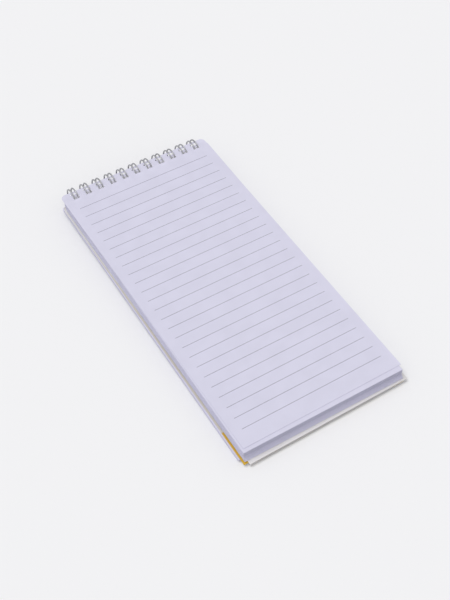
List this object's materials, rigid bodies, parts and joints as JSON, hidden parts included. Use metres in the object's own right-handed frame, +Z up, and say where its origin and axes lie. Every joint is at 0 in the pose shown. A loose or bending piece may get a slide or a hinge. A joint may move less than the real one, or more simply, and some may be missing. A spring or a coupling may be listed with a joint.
{
  "type": "pocket notebook",
  "caption": "Slim top-bound ruled notebook on a closed twin-loop wire, lying folded back, with its cover and some leaves turned under.",
  "frame": {"origin": "middle of the footprint, on the surface that the notebook lies on", "axes": "+X along the binding, +Y from the foot towards the binding, +Z up"},
  "size_m": [0.1052, 0.2186, 0.0137],
  "materials": {
    "paper": "matt uncoated writing paper, very slightly blue white",
    "back_card": "plain white card, matt",
    "front_card": "cream card with a golden yellow printed band, satin",
    "wire": "zinc plated steel wire, satin grey"
  },
  "bodies": {
    "pad": {"twin_loop_wire": "wire", "back_cover": "back_card", "leaf_33": "paper", "leaf_34": "paper", "leaf_35": "paper", "leaf_36": "paper", "leaf_37": "paper", "leaf_38": "paper", "leaf_39": "paper", "leaf_40": "paper"},
    "lower_leaves": {"leaf_25": "paper", "leaf_26": "paper", "leaf_27": "paper", "leaf_28": "paper", "leaf_29": "paper", "leaf_30": "paper", "leaf_31": "paper", "leaf_32": "paper"},
    "middle_leaves": {"leaf_17": "paper", "leaf_18": "paper", "leaf_19": "paper", "leaf_20": "paper", "leaf_21": "paper", "leaf_22": "paper", "leaf_23": "paper", "leaf_24": "paper"},
    "upper_leaves": {"leaf_11": "paper", "leaf_12": "paper", "leaf_13": "paper", "leaf_14": "paper", "leaf_15": "paper", "leaf_16": "paper"},
    "second_leaf": {"leaf_10": "paper"},
    "top_leaf": {"leaf_09": "paper"},
    "front_cover": {"front_cover": "front_card"},
    "turned_leaves": {"leaf_01": "paper", "leaf_02": "paper", "leaf_03": "paper", "leaf_04": "paper", "leaf_05": "paper", "leaf_06": "paper", "leaf_07": "paper"},
    "last_turned_leaf": {"leaf_08": "paper"}
  },
  "joints": [
    {"name": "lower_leaves_turn", "type": "hinge", "parent": "pad", "child": "lower_leaves", "pos_m": [-0.00066, 0.10253, 0.00684], "axis": [-1, 0, 0], "range_deg": [0, 180]},
    {"name": "middle_leaves_turn", "type": "hinge", "parent": "lower_leaves", "child": "middle_leaves", "pos_m": [-0.00066, 0.10253, 0.00684], "axis": [-1, 0, 0], "range_deg": [0, 180]},
    {"name": "upper_leaves_turn", "type": "hinge", "parent": "middle_leaves", "child": "upper_leaves", "pos_m": [-0.00066, 0.10253, 0.00684], "axis": [-1, 0, 0], "range_deg": [0, 180]},
    {"name": "second_leaf_turn", "type": "hinge", "parent": "upper_leaves", "child": "second_leaf", "pos_m": [-0.00066, 0.10253, 0.00684], "axis": [-1, 0, 0], "range_deg": [0, 180]},
    {"name": "top_leaf_turn", "type": "hinge", "parent": "second_leaf", "child": "top_leaf", "pos_m": [-0.00066, 0.10253, 0.00684], "axis": [-1, 0, 0], "range_deg": [0, 180]},
    {"name": "front_cover_turn", "type": "hinge", "parent": "pad", "child": "front_cover", "pos_m": [-0.00066, 0.10253, 0.00684], "axis": [1, 0, 0], "range_deg": [0, 180]},
    {"name": "turned_leaves_turn", "type": "hinge", "parent": "front_cover", "child": "turned_leaves", "pos_m": [-0.00066, 0.10253, 0.00684], "axis": [1, 0, 0], "range_deg": [0, 180]},
    {"name": "last_turned_leaf_turn", "type": "hinge", "parent": "turned_leaves", "child": "last_turned_leaf", "pos_m": [-0.00066, 0.10253, 0.00684], "axis": [1, 0, 0], "range_deg": [0, 180]}
  ]
}
